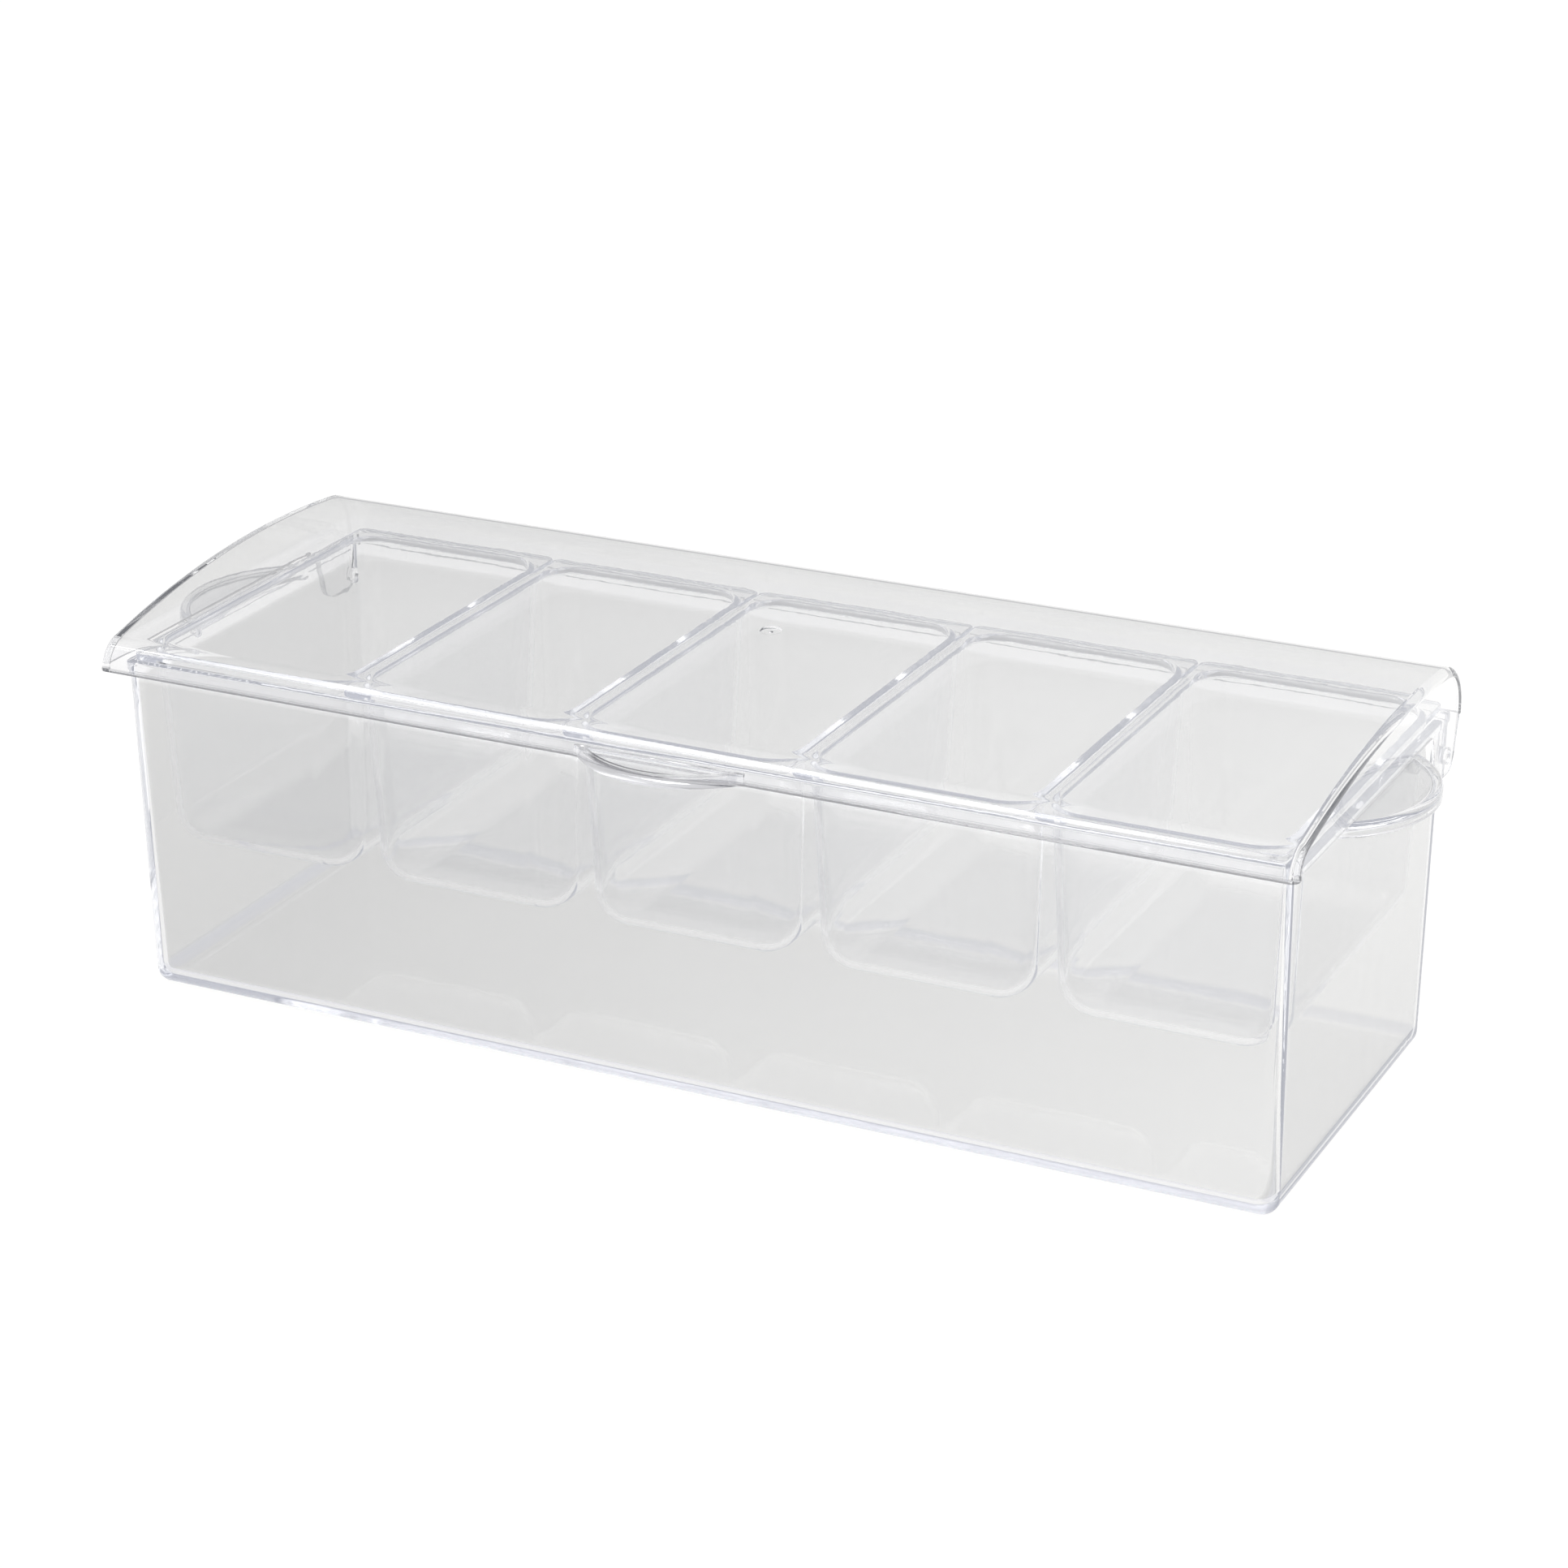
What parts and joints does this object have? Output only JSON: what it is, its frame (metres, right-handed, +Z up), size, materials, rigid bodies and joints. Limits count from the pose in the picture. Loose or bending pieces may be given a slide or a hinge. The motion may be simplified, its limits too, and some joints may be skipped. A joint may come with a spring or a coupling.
{
  "type": "condiment caddy",
  "caption": "Clear countertop condiment caddy: a deep tray with carrying ledges holds a row of lift-out cups under one arched lid hinged at the back.",
  "frame": {"origin": "middle of the tray's underside, on the surface it stands on", "axes": "+X to the right along the tray's length, +Y to the back where the lid is hinged, +Z up; the thumb tab faces -Y"},
  "size_m": [0.421, 0.1608, 0.1291],
  "materials": {
    "tray_clear": "clear polished moulded plastic",
    "lid_clear": "clear polished moulded plastic",
    "insert_clear": "clear polished moulded plastic"
  },
  "bodies": {
    "tray": {"tray": "tray_clear"},
    "lid": {"lid": "lid_clear"},
    "insert_1": {"insert_1": "insert_clear"},
    "insert_2": {"insert_2": "insert_clear"},
    "insert_3": {"insert_3": "insert_clear"},
    "insert_4": {"insert_4": "insert_clear"},
    "insert_5": {"insert_5": "insert_clear"}
  },
  "joints": [
    {"name": "lid_hinge", "type": "hinge", "parent": "tray", "child": "lid", "pos_m": [0, 0.0612, 0.098], "axis": [-1, 0, 0], "range_deg": [0, 107]},
    {"name": "insert_1_lift", "type": "slide", "parent": "tray", "child": "insert_1", "axis": [0, 0, 1], "range_m": [0, 0.002]},
    {"name": "insert_2_lift", "type": "slide", "parent": "tray", "child": "insert_2", "axis": [0, 0, 1], "range_m": [0, 0.002]},
    {"name": "insert_3_lift", "type": "slide", "parent": "tray", "child": "insert_3", "axis": [0, 0, 1], "range_m": [0, 0.002]},
    {"name": "insert_4_lift", "type": "slide", "parent": "tray", "child": "insert_4", "axis": [0, 0, 1], "range_m": [0, 0.002]},
    {"name": "insert_5_lift", "type": "slide", "parent": "tray", "child": "insert_5", "axis": [0, 0, 1], "range_m": [0, 0.002]}
  ]
}
